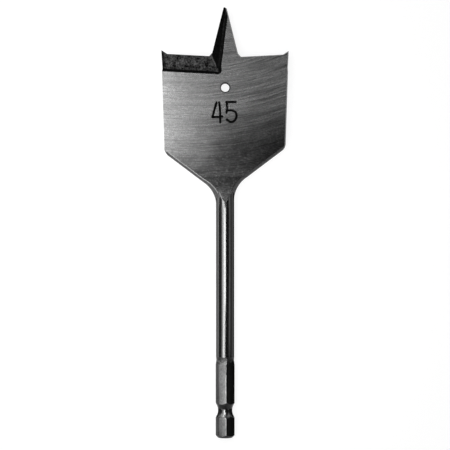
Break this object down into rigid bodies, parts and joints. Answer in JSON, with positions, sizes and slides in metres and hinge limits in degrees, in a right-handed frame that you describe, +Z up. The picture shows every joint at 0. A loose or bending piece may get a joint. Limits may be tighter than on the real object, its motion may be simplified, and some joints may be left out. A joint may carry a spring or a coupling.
{
  "type": "spade drill bit",
  "caption": "Spade drill bit: a flat forged blade with a pilot point, spurs and hook-ground lips on a round stem with a grooved hex shank, for boring wide holes in wood.",
  "frame": {"origin": "on the floor under the middle of the bit's length and width", "axes": "+Y along the bit's axis from the hex shank to the pilot point, +X across the blade, +Z up from the floor, with the hook grind of the upper face on the -X side"},
  "size_m": [0.045, 0.152, 0.0068],
  "materials": {
    "steel": "ground blade, bright drawn stem, dark hex shank"
  },
  "bodies": {
    "root": {"spade_bit": "steel"}
  },
  "joints": []
}
